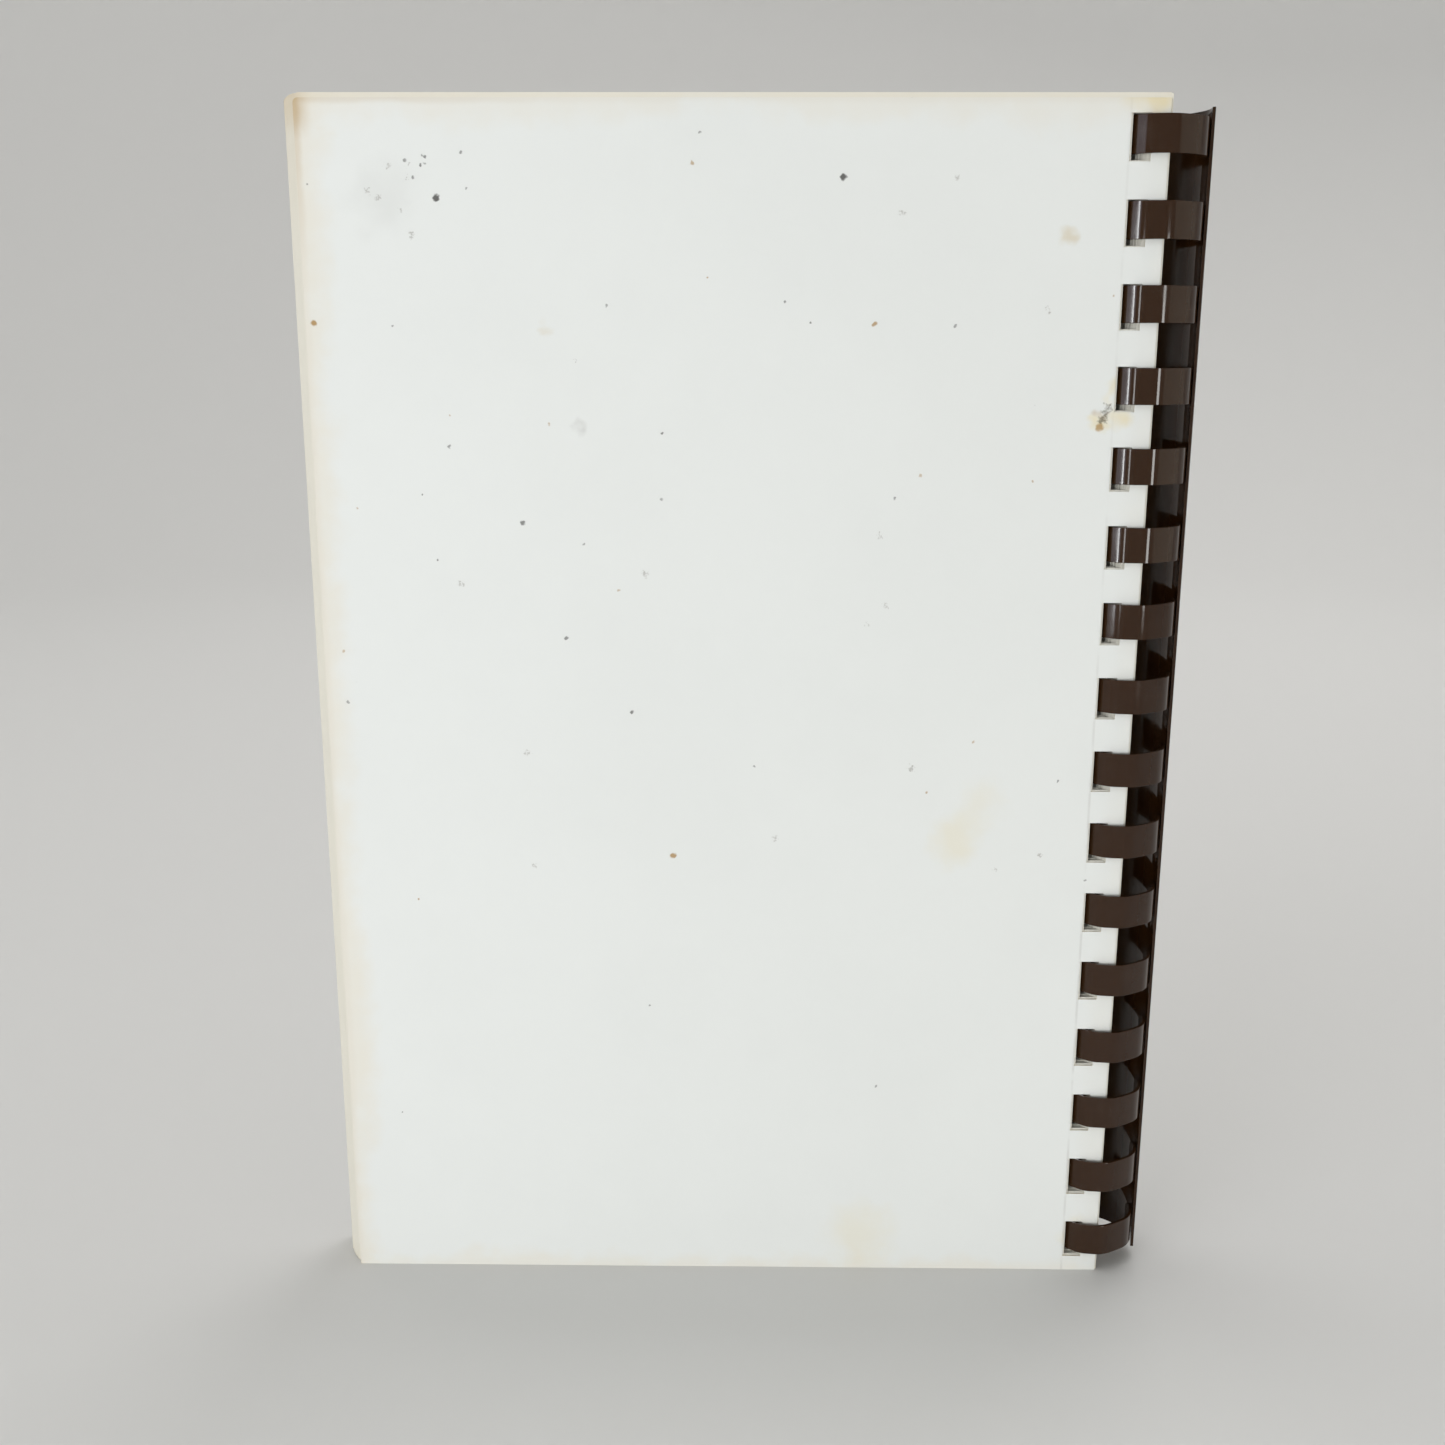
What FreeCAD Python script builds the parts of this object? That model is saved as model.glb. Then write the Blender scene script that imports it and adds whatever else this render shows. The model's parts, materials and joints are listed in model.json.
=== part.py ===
"""A comb-bound book: a plastic comb of curled fingers holds punched leaves between two creased covers.

The book stands on its lower edges. +Z runs up the spine, +X points from the fore-edge to the spine, and
the back cover faces -Y. The origin is at the bottom centre of the whole book.
Depth is measured from the comb's axis towards the back cover, so it counts along -Y.
"""
import FreeCAD
import Part
import Sketcher

import math
import os

# The driving dimensions, in millimetres and degrees. The comb's angles run from +X towards +Y.
DIMENSIONS = {
    "finger_count": 16,
    "finger_pitch": 14.2875,  # nine sixteenths of an inch, the standard pitch of punched combs
    "finger_width": 6.5,
    "finger_bore": 8.4,  # inner radius of the curled fingers' free ends
    "comb_wall": 0.6,
    "tip_gap": 0.2,  # between a finger's tip and the strip that it tucks into
    "strip_margin": 1.8,  # strip beyond the first and the last finger
    "strip_edge_angle": -17,
    "root_angle": 70,  # where the fingers leave the strip
    "tip_angle": 370,
    "crown_height": 1.6,  # how far the fingers stand out of the back cover
    "hole_width": 3.2,
    "finger_clearance": 0.15,  # between a finger and the side of a hole that it bears on
    "finger_top_gap": 0.2,  # between a finger and the top of its hole
    "finger_foot_gap": 1.3,  # between a finger and the foot of its hole
    "foot_margin": 3.14,  # below the lowest hole
    "head_margin": 3.1475,  # above the highest hole, which makes a leaf nine inches tall
    "leaf_count": 54,
    "leaf_width": 152.4,  # six inches
    "leaf_thickness": 0.15,
    "leaf_gap": 0.03,
    "leaf_spine_margin": 3.3,  # between the holes and the leaf's spine edge
    "cover_trim": 0.7,  # how much shorter a cover is than a leaf
    "cover_thickness": 0.35,
    "cover_spine_margin": 3.05,
    "crease_margin": 0.6,  # between the cover's crease and its holes
    "front_sections": 3,  # groups of leaves in the front half, each with a hinge of its own
    "front_swing": 25,  # how far each of them turns
}


class Size:
    """A size that keeps its value together with the spreadsheet expression that gives it."""

    def __init__(self, value, text):
        self.value = value
        self.text = text

    def combine(self, other, sign, result):
        """Joins two sizes, or a size and a number, into one."""
        text = other.text if isinstance(other, Size) else str(other)
        return Size(result, f"({self.text} {sign} {text})")

    def __add__(self, other):
        return self.combine(other, "+", self.value + number(other))

    def __sub__(self, other):
        return self.combine(other, "-", self.value - number(other))

    def __mul__(self, other):
        return self.combine(other, "*", self.value * number(other))

    def __truediv__(self, other):
        return self.combine(other, "/", self.value / number(other))


def number(size):
    """The plain value of a size or a number."""
    return size.value if isinstance(size, Size) else size


document = FreeCAD.newDocument("comb_bound_book")


def fill_sheet():
    """Writes the driving dimensions to the spreadsheet and returns them by name."""
    sheet = document.addObject("Spreadsheet::Sheet", "sizes")
    for row, (alias, value) in enumerate(DIMENSIONS.items(), start=1):
        sheet.set(f"A{row}", alias)
        sheet.set(f"B{row}", str(value))
        sheet.setAlias(f"B{row}", alias)
    document.recompute()
    return {alias: Size(value, f"sizes.{alias}") for alias, value in DIMENSIONS.items()}


size = fill_sheet()

# The comb: its fingers' free ends and its strip are round about the axis. The stretch between them is half
# a circle about a centre that lies between the two radii, so that the curl widens smoothly.
finger_inner = size["finger_bore"]
finger_outer = finger_inner + size["comb_wall"]
strip_inner = finger_outer + size["tip_gap"]
strip_outer = strip_inner + size["comb_wall"]
curl_offset = (strip_inner - finger_inner) / 2
curl_inner = finger_inner + curl_offset
curl_outer = finger_outer + curl_offset
curl_end_angle = size["root_angle"] + 180
rows_span = size["finger_pitch"] * (size["finger_count"] - 1)
strip_length = rows_span + size["finger_width"] + size["strip_margin"] * 2
strip_foot = size["foot_margin"] + size["finger_foot_gap"] - size["strip_margin"]

# The sheets: their holes follow the comb's fingers, and each cover's strip beyond its crease is punched.
hole_height = size["finger_foot_gap"] + size["finger_width"] + size["finger_top_gap"]
leaf_height = size["foot_margin"] + rows_span + hole_height + size["head_margin"]
cover_height = leaf_height - size["cover_trim"]
binding_width = size["crease_margin"] + size["hole_width"] + size["cover_spine_margin"]
panel_width = size["leaf_width"] - binding_width


def curl_reach(angle):
    """Distance from the comb's axis to the outside of its fingers at an angle in degrees."""
    if angle >= curl_end_angle.value:
        return finger_outer.value
    turn = math.radians(angle - size["root_angle"].value)
    offset = curl_offset.value
    return offset * math.cos(turn) + math.sqrt(curl_outer.value**2 - (offset * math.sin(turn)) ** 2)


def hole_edge(near, far, swing):
    """How far to the left of the comb's axis the holes begin in a sheet between two depths.

    The sheet's holes clear the fingers at rest and after the sheet swings about the comb's axis.
    """
    depth = max(far, 0.0) if near > 0.0 else min(near, 0.0)
    rest_angle = 180.0 + math.degrees(math.asin(depth / finger_outer.value))
    reach = curl_reach(rest_angle - swing) + size["finger_clearance"].value
    return math.sqrt(reach**2 - depth**2)


def add_sketch(body, name, plane, lift=None, shift=None):
    """Adds a sketch on one of the body's origin planes, lifted off it and shifted in it."""
    sketch = body.newObject("Sketcher::SketchObject", name)
    planes = {feature.Role: feature for feature in body.Origin.OriginFeatures}
    sketch.AttachmentSupport = (planes[plane], [""])
    sketch.MapMode = "FlatFace"
    if lift is not None:
        sketch.setExpression(".AttachmentOffset.Base.z", lift.text)
    if shift is not None:
        length, angle = shift
        sketch.setExpression(".AttachmentOffset.Base.x", f"{length.text} * cos({angle.text})")
        sketch.setExpression(".AttachmentOffset.Base.y", f"{length.text} * sin({angle.text})")
    return sketch


def bind(sketch, name, constraint, source):
    """Adds a named dimension to a sketch and ties it to the spreadsheet."""
    index = sketch.addConstraint(constraint)
    sketch.renameConstraint(index, name)
    sketch.setExpression(f"Constraints.{name}", source.text)


def draw_sector(sketch, inner, outer, start, end):
    """Draws a sector of a ring about the sketch's origin."""
    begin, finish = math.radians(start.value), math.radians(end.value)
    normal = FreeCAD.Vector(0, 0, 1)

    def spot(radius, angle):
        return FreeCAD.Vector(radius.value * math.cos(angle), radius.value * math.sin(angle), 0)

    arcs = []
    for radius in (inner, outer):
        circle = Part.Circle(FreeCAD.Vector(), normal, radius.value)
        arcs.append(sketch.addGeometry(Part.ArcOfCircle(circle, begin, finish)))
        sketch.addConstraint(Sketcher.Constraint("Coincident", arcs[-1], 3, -1, 1))
    for end_point, angle in ((1, begin), (2, finish)):
        line = sketch.addGeometry(Part.LineSegment(spot(inner, angle), spot(outer, angle)))
        sketch.addConstraint(Sketcher.Constraint("Coincident", line, 1, arcs[0], end_point))
        sketch.addConstraint(Sketcher.Constraint("Coincident", line, 2, arcs[1], end_point))
        sketch.addConstraint(Sketcher.Constraint("PointOnObject", -1, 1, line))
        source = start if end_point == 1 else end
        name = "start_angle" if end_point == 1 else "end_angle"
        bind(sketch, name, Sketcher.Constraint("Angle", line, math.radians(source.value)), source)
    bind(sketch, "inner_radius", Sketcher.Constraint("Radius", arcs[0], inner.value), inner)
    bind(sketch, "outer_radius", Sketcher.Constraint("Radius", arcs[1], outer.value), outer)


def draw_rectangle(sketch, width, height, left=None, foot=None):
    """Draws a rectangle whose lower left corner lies at the origin, or at a distance from both axes."""
    x, y = (left.value, foot.value) if left is not None else (0.0, 0.0)
    ring = [(x, y), (x + width.value, y), (x + width.value, y + height.value), (x, y + height.value)]
    points = [FreeCAD.Vector(*corner, 0) for corner in ring]
    lines = [sketch.addGeometry(Part.LineSegment(points[i], points[(i + 1) % 4])) for i in range(4)]
    for i, line in enumerate(lines):
        sketch.addConstraint(Sketcher.Constraint("Coincident", line, 2, lines[(i + 1) % 4], 1))
        sketch.addConstraint(Sketcher.Constraint("Horizontal" if i % 2 == 0 else "Vertical", line))
    bind(sketch, "width", Sketcher.Constraint("DistanceX", lines[0], 1, lines[0], 2, width.value), width)
    bind(sketch, "height", Sketcher.Constraint("DistanceY", lines[1], 1, lines[1], 2, height.value), height)
    if left is None:
        sketch.addConstraint(Sketcher.Constraint("Coincident", lines[0], 1, -1, 1))
    else:
        bind(sketch, "left", Sketcher.Constraint("DistanceX", -1, 1, lines[0], 1, left.value), left)
        bind(sketch, "foot", Sketcher.Constraint("DistanceY", -1, 1, lines[0], 1, foot.value), foot)


def add_pad(body, name, sketch, length):
    """Pads a sketch along its normal."""
    pad = body.newObject("PartDesign::Pad", name)
    pad.Profile = sketch
    pad.setExpression("Length", length.text)
    sketch.Visibility = False
    return pad


def repeat_along(body, name, features, sketch, direction):
    """Repeats features up the spine, once for each finger of the comb."""
    pattern = body.newObject("PartDesign::LinearPattern", name)
    pattern.Originals = features
    pattern.Direction = (sketch, [direction])
    pattern.setExpression("Length", rows_span.text)
    pattern.setExpression("Occurrences", size["finger_count"].text)
    body.Tip = pattern


def add_body(label):
    """Adds an empty body with the label that names its file."""
    body = document.addObject("PartDesign::Body", label)
    body.Label = label
    return body


def make_comb():
    """The plastic comb: a long curved strip, and fingers that curl out of it and tuck back into it."""
    body = add_body("comb")
    strip = add_sketch(body, "strip_profile", "XY_Plane")
    draw_sector(strip, strip_inner, strip_outer, size["strip_edge_angle"], size["root_angle"])
    add_pad(body, "strip", strip, strip_length)

    lift = size["strip_margin"]
    curl = add_sketch(body, "curl_profile", "XY_Plane", lift, (curl_offset, size["root_angle"]))
    draw_sector(curl, curl_inner, curl_outer, size["root_angle"], curl_end_angle)
    curl_pad = add_pad(body, "curl", curl, size["finger_width"])

    tip = add_sketch(body, "tip_profile", "XY_Plane", lift)
    draw_sector(tip, finger_inner, finger_outer, curl_end_angle, size["tip_angle"])
    tip_pad = add_pad(body, "tip", tip, size["finger_width"])
    repeat_along(body, "fingers", [curl_pad, tip_pad], tip, "N_Axis")
    return body


def make_sheet(label, width, height, thickness):
    """An unpunched sheet, upright, with its lower left corner at the origin and its thickness towards -Y."""
    body = add_body(label)
    outline = add_sketch(body, "outline", "XZ_Plane")
    draw_rectangle(outline, width, height)
    add_pad(body, "sheet", outline, thickness)
    return body


def punch(body, width, spine_margin):
    """Punches the row of holes along a sheet's spine edge."""
    hole = add_sketch(body, "hole_outline", "XZ_Plane")
    left = width - spine_margin - size["hole_width"]
    draw_rectangle(hole, size["hole_width"], hole_height, left, size["foot_margin"])
    pocket = body.newObject("PartDesign::Pocket", "hole")
    pocket.Profile = hole
    pocket.Type = "ThroughAll"
    pocket.Reversed = True
    hole.Visibility = False
    repeat_along(body, "holes", [pocket], hole, "V_Axis")


def stack():
    """Works out where each sheet lies: its label, its near and far depths and its holes' left edge."""
    leaves = size["leaf_count"].value
    near = finger_outer.value - size["crown_height"].value
    far = near - size["cover_thickness"].value
    rows = [("back_cover", near, far, hole_edge(near, far, 0.0))]
    per_section = leaves / 2 / size["front_sections"].value
    for number_from_front in range(leaves, 0, -1):
        near = far - size["leaf_gap"].value
        far = near - size["leaf_thickness"].value
        sections_turned = max(0, size["front_sections"].value - int((number_from_front - 1) // per_section))
        swing = size["front_swing"].value * sections_turned
        rows.append((f"leaf_{number_from_front:02d}", near, far, hole_edge(near, far, swing)))
    near = far - size["leaf_gap"].value
    far = near - size["cover_thickness"].value
    swing = size["front_swing"].value * size["front_sections"].value
    rows.append(("front_cover", near, far, hole_edge(near, far, swing)))
    return rows


def left_end(label, edge):
    """How far to the left of the comb's axis a sheet reaches."""
    margin = size["cover_spine_margin"] if label.endswith("cover") else size["leaf_spine_margin"]
    return edge + (size["leaf_width"] - margin - size["hole_width"]).value


sheets = stack()
reach_left = max(left_end(label, edge) for label, near, far, edge in sheets)
reach_back = finger_outer.value
reach_front = curl_outer.value + curl_offset.value * math.sin(math.radians(size["root_angle"].value))
axis_x = (reach_left - strip_outer.value) / 2
axis_y = (reach_back - reach_front) / 2


def place(body, x, depth, z=0.0):
    """Puts a body's own origin at a distance along X and a depth from the comb's axis."""
    body.Placement = FreeCAD.Placement(FreeCAD.Vector(axis_x + x, axis_y - depth, z), FreeCAD.Rotation())


def make_leaf(label, far, edge):
    """One punched leaf of the text block."""
    body = make_sheet(label, size["leaf_width"], leaf_height, size["leaf_thickness"])
    punch(body, size["leaf_width"], size["leaf_spine_margin"])
    place(body, -left_end(label, edge), far)
    return body


def make_cover(label, far, edge):
    """A cover: the panel that opens, and the punched strip that stays on the comb, meeting at the crease."""
    panel = make_sheet(label, panel_width, cover_height, size["cover_thickness"])
    place(panel, -left_end(label, edge), far)
    strip_label = f"{label}_binding_strip"
    strip = make_sheet(strip_label, binding_width, cover_height, size["cover_thickness"])
    punch(strip, binding_width, size["cover_spine_margin"])
    place(strip, -edge - size["crease_margin"].value, far)
    return [panel, strip]


comb = make_comb()
place(comb, 0.0, 0.0, strip_foot.value)
bodies = [comb]
for sheet_label, sheet_near, sheet_far, sheet_edge in sheets:
    if sheet_label.endswith("cover"):
        bodies += make_cover(sheet_label, sheet_far, sheet_edge)
    else:
        bodies.append(make_leaf(sheet_label, sheet_far, sheet_edge))
document.recompute()

for item in document.Objects:
    if "Invalid" in item.State or "Error" in item.State:
        raise RuntimeError(f"{item.Label} did not build: {item.State}")
for body in bodies:
    if body.Shape.isNull() or not body.Shape.isValid() or len(body.Shape.Solids) != 1:
        raise RuntimeError(f"{body.Label} is not one valid solid")

os.makedirs("parts", exist_ok=True)
for body in bodies:
    body.Shape.exportStep(f"parts/{body.Label}.step")
crease_x = {label: axis_x - edge - size["crease_margin"].value for label, near, far, edge in sheets}
print(f"comb axis at x {axis_x:.4f}, y {axis_y:.4f}")
print(f"back cover: crease x {crease_x['back_cover']:.4f}, outer face y {axis_y - sheets[0][1]:.4f}")
print(f"front cover: crease x {crease_x['front_cover']:.4f}, outer face y {axis_y - sheets[-1][2]:.4f}")
print(f"{len(bodies)} pieces written")
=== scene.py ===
"""The looks of a comb-bound book: a curled plastic comb, punched leaves and two creased covers.

The book stands on its lower edges. +Z runs up the spine, +X points from the fore-edge to the comb and the
back cover faces -Y. Depth counts from the comb's axis towards the back cover.
"""
from __future__ import annotations

import json
import logging
import math
import random
from dataclasses import dataclass, field
from enum import Enum

import bmesh
import bpy
import numpy as np
from mathutils import Matrix, Vector


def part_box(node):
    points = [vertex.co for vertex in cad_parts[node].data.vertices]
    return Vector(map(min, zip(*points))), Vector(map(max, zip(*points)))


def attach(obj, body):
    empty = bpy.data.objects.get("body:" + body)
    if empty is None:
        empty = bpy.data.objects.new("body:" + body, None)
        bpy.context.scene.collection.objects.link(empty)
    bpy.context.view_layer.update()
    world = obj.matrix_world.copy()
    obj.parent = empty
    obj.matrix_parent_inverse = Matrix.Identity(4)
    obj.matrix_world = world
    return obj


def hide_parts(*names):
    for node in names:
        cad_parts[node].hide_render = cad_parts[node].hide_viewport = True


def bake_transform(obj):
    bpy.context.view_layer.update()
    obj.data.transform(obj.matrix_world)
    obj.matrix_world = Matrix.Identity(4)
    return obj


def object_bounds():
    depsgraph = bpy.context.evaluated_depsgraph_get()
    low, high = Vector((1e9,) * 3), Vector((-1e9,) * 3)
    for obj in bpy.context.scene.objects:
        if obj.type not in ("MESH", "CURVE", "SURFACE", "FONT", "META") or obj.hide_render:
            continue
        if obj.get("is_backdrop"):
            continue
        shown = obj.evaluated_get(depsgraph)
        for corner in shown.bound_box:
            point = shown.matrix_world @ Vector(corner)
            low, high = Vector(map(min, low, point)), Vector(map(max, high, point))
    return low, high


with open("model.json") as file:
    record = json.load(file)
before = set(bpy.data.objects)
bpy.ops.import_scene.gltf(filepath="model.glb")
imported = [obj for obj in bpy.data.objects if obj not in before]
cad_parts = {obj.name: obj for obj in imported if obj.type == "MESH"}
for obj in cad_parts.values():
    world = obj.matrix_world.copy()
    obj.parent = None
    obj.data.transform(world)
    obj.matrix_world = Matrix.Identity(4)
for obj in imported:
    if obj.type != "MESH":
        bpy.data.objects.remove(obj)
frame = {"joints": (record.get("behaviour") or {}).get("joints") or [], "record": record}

MM = 0.001
TOUCH = 0.01 * MM
LOG = logging.getLogger("comb_bound_book")
Colour = tuple[float, float, float]
NUMBER_OPERATIONS = {"add": "ADD", "take": "SUBTRACT", "times": "MULTIPLY", "power": "POWER"}


class CoverSide(Enum):
    """Which of the two covers a card is."""

    BACK = "back"
    FRONT = "front"


class Signal:
    """A number that varies over a surface, carried by a socket, with sums written as Python sums."""

    def __init__(self, shader: Shader, socket: bpy.types.NodeSocket) -> None:
        """Wraps an output socket of one of the shader's nodes."""
        self.shader = shader
        self.socket = socket

    def sum_with(self, operation: str, first: Signal | float, second: Signal | float) -> Signal:
        """Adds a Math node.

        Args:
            operation: the sum, a key of NUMBER_OPERATIONS.
            first: the left-hand value.
            second: the right-hand value.

        Returns:
            The result as a signal.
        """
        kind = {"operation": NUMBER_OPERATIONS[operation]}
        node = self.shader.node("ShaderNodeMath", kind, {0: first, 1: second})
        return Signal(self.shader, node.outputs[0])

    def __add__(self, other: Signal | float) -> Signal:
        """Adds a value."""
        return self.sum_with("add", self, other)

    def __radd__(self, other: float) -> Signal:
        """Adds the signal to a number."""
        return self.sum_with("add", other, self)

    def __sub__(self, other: Signal | float) -> Signal:
        """Takes a value away."""
        return self.sum_with("take", self, other)

    def __rsub__(self, other: float) -> Signal:
        """Takes the signal away from a number."""
        return self.sum_with("take", other, self)

    def __mul__(self, other: Signal | float) -> Signal:
        """Multiplies by a value."""
        return self.sum_with("times", self, other)

    def __pow__(self, other: float) -> Signal:
        """Raises the signal to a power."""
        return self.sum_with("power", self, other)

    def fade(self, start: float, end: float) -> Signal:
        """Turns the signal into a smooth step.

        Args:
            start: where the step is 0.
            end: where the step is 1. It may be the lower of the two.

        Returns:
            The step as a signal from 0 to 1.
        """
        low, high = min(start, end), max(start, end)
        kind = {"interpolation_type": "SMOOTHSTEP"}
        node = self.shader.node("ShaderNodeMapRange", kind, {0: self, 1: low, 2: high})
        step = Signal(self.shader, node.outputs[0])
        return step if start < end else 1.0 - step


class Shader:
    """A material under construction: its node tree and its Principled BSDF."""

    FIRST_COLOUR = 6
    SECOND_COLOUR = 7
    MIXED_COLOUR = 2

    def __init__(self, name: str) -> None:
        """Starts a material of that name."""
        self.material = bpy.data.materials.new(name)
        self.material.use_nodes = True
        self.tree = self.material.node_tree
        self.surface = self.tree.nodes["Principled BSDF"]

    def node(self, kind: str, settings: dict | None = None, inputs: dict | None = None) -> bpy.types.Node:
        """Adds any node.

        Args:
            kind: the node's type.
            settings: its properties, set before its sockets.
            inputs: its sockets by name or number, each with a value, a colour, a socket or a signal.

        Returns:
            The new node.
        """
        made = self.tree.nodes.new(kind)
        for key, value in (settings or {}).items():
            setattr(made, key, value)
        for key, value in (inputs or {}).items():
            self.feed(made.inputs[key], value)
        return made

    def feed(self, socket: bpy.types.NodeSocket, value: object) -> None:
        """Links a signal or a socket to an input, or sets the input's own value."""
        if isinstance(value, Signal):
            value = value.socket
        if isinstance(value, bpy.types.NodeSocket):
            self.tree.links.new(value, socket)
        elif isinstance(value, tuple) and len(value) == 3 and socket.type == "RGBA":
            socket.default_value = (*value, 1.0)
        else:
            socket.default_value = value

    def mix(self, share: Signal | float, low: object, high: object) -> bpy.types.NodeSocket:
        """Mixes two colours.

        Args:
            share: how much of the second colour there is, from 0 to 1.
            low: the first colour, as three numbers or a socket.
            high: the second colour.

        Returns:
            The socket of the mixed colour.
        """
        inputs = {0: share, self.FIRST_COLOUR: low, self.SECOND_COLOUR: high}
        return self.node("ShaderNodeMix", {"data_type": "RGBA"}, inputs).outputs[self.MIXED_COLOUR]

    def noise(self, place: bpy.types.NodeSocket, size: float, detail: float = 3.0) -> Signal:
        """Adds noise whose blotches are about that many metres across."""
        inputs = {"Vector": place, "Scale": 1.0 / size, "Detail": detail}
        return Signal(self, self.node("ShaderNodeTexNoise", None, inputs).outputs[0])

    def stretched(self, place: bpy.types.NodeSocket, up_scale: float) -> bpy.types.NodeSocket:
        """Scales a place upwards, so that noise on it makes flat streaks."""
        inputs = {"Vector": place, "Scale": (1.0, 1.0, up_scale)}
        return self.node("ShaderNodeMapping", None, inputs).outputs[0]

    def warped(self, place: bpy.types.NodeSocket, size: float, reach: float) -> bpy.types.NodeSocket:
        """Shifts a place about by noise.

        Args:
            place: the place.
            size: how large the noise's blotches are, in metres.
            reach: twice the furthest that a point moves, in metres.

        Returns:
            The socket of the shifted place.
        """
        inputs = {"Vector": place, "Scale": 1.0 / size, "Detail": 3.0}
        noise = self.node("ShaderNodeTexNoise", None, inputs)
        inputs = {0: noise.outputs["Color"], 1: (0.5, 0.5, 0.5)}
        shift = self.node("ShaderNodeVectorMath", {"operation": "SUBTRACT"}, inputs).outputs[0]
        inputs = {0: shift, 1: (reach, reach, reach), 2: place}
        return self.node("ShaderNodeVectorMath", {"operation": "MULTIPLY_ADD"}, inputs).outputs[0]

    def bump(self, height: Signal, depth: float) -> bpy.types.NodeSocket:
        """Turns a height signal into a normal, with depth in metres."""
        inputs = {"Strength": 1.0, "Distance": depth, "Height": height}
        return self.node("ShaderNodeBump", None, inputs).outputs[0]

    def finish(self, **sockets: object) -> bpy.types.Material:
        """Feeds the surface's sockets by name, with spaces as underscores, and returns the material."""
        for name, value in sockets.items():
            self.feed(self.surface.inputs[name.replace("_", " ")], value)
        return self.material


@dataclass(frozen=True)
class CombPlastic:
    """Glossy brown vinyl sheet, with faint rolling streaks, fingerprints and a little dust."""

    body: Colour = (0.030, 0.0118, 0.0035)
    worn: Colour = (0.034, 0.0145, 0.0060)
    dust: Colour = (0.10, 0.085, 0.07)

    def material(self) -> bpy.types.Material:
        """Builds the material."""
        shader = Shader("comb_vinyl")
        place = shader.node("ShaderNodeTexCoord").outputs["Object"]
        streaks = shader.noise(shader.stretched(place, 6.0), 0.9 * MM, 4.0)
        smears = shader.noise(place, 7 * MM, 3.0)
        grain = shader.noise(place, 0.12 * MM, 2.0)
        dusty = smears.fade(0.52, 0.75) * grain.fade(0.5, 0.68) * 0.25
        colour = shader.mix(streaks.fade(0.35, 0.7) * 0.3, self.body, self.worn)
        return shader.finish(
            Base_Color=shader.mix(dusty, colour, self.dust),
            Roughness=0.06 + smears.fade(0.4, 0.7) * 0.07 + dusty * 0.4,
            IOR=1.42,
            Normal=shader.bump(smears, 0.012 * MM),
        )


class Blot(Enum):
    """How the outline of a mark breaks up."""

    DOT = "dot"
    SCRATCH = "scratch"
    STAIN = "stain"


YELLOWED: Colour = (0.50, 0.35, 0.17)
STRAW: Colour = (0.78, 0.64, 0.30)
RUST: Colour = (0.40, 0.23, 0.06)
BISTRE: Colour = (0.075, 0.052, 0.014)
SOOT: Colour = (0.055, 0.05, 0.045)
SCUFF: Colour = (0.33, 0.31, 0.28)
TAN: Colour = (0.66, 0.58, 0.42)


@dataclass(frozen=True)
class Mark:
    """A speck, scuff or stain on a card.

    Its place is a share of the card's width from the fore-edge, and a level counted in fingers from the
    lowest one. Its radius is in millimetres.
    """

    across: float
    level: float
    radius: float = 0.3
    colour: Colour = SOOT
    strength: float = 0.6
    blot: Blot = Blot.DOT

    @staticmethod
    def scuff(across: float, level: float, radius: float, strength: float) -> Mark:
        """A grey scuff, broken into scratches."""
        return Mark(across, level, radius, SCUFF, strength, Blot.SCRATCH)

    @staticmethod
    def stain(across: float, level: float, radius: float, colour: Colour, strength: float) -> Mark:
        """A soft ragged stain."""
        return Mark(across, level, radius, colour, strength, Blot.STAIN)


@dataclass(frozen=True)
class Sprinkle:
    """Small marks of one kind that fall at random on one part of a card."""

    count: int
    blot: Blot
    colours: tuple[Colour, ...]
    levels: tuple[float, float]
    across: tuple[float, float] = (0.0, 1.0)
    radius: tuple[float, float] = (0.25, 0.42)
    strength: tuple[float, float] = (0.5, 0.75)

    def marks(self, dice: random.Random) -> list[Mark]:
        """Drops the marks.

        Args:
            dice: where the places, sizes and colours come from.

        Returns:
            The marks.
        """
        made = []
        for _ in range(self.count):
            place = (dice.uniform(*self.across), dice.uniform(*self.levels))
            radius, strength = dice.uniform(*self.radius), dice.uniform(*self.strength)
            made.append(Mark(*place, radius, dice.choice(self.colours), strength, self.blot))
        return made


def run_stain(across: float, level: float) -> tuple[Mark, ...]:
    """A stain that ran: straw round it, rust at its foot and dark flecks up a short slant.

    Args:
        across: where its foot is, as a share of the card's width.
        level: how high its foot is, in fingers.

    Returns:
        The marks that make it up.
    """
    flecks = (
        Mark(across + 0.003 * step, level + 0.08 * step, 1.0, BISTRE, 0.75, Blot.SCRATCH)
        for step in range(1, 4)
    )
    return (
        Mark.stain(across, level + 0.05, 2.7, STRAW, 0.6),
        Mark.stain(across + 0.02, level + 0.1, 3.6, STRAW, 0.5),
        Mark.stain(across + 0.01, level + 0.5, 2.6, STRAW, 0.35),
        Mark.stain(across + 0.005, level + 0.2, 1.4, RUST, 0.35),
        *flecks,
        Mark(across, level, 0.9, RUST, 0.8),
    )


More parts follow.
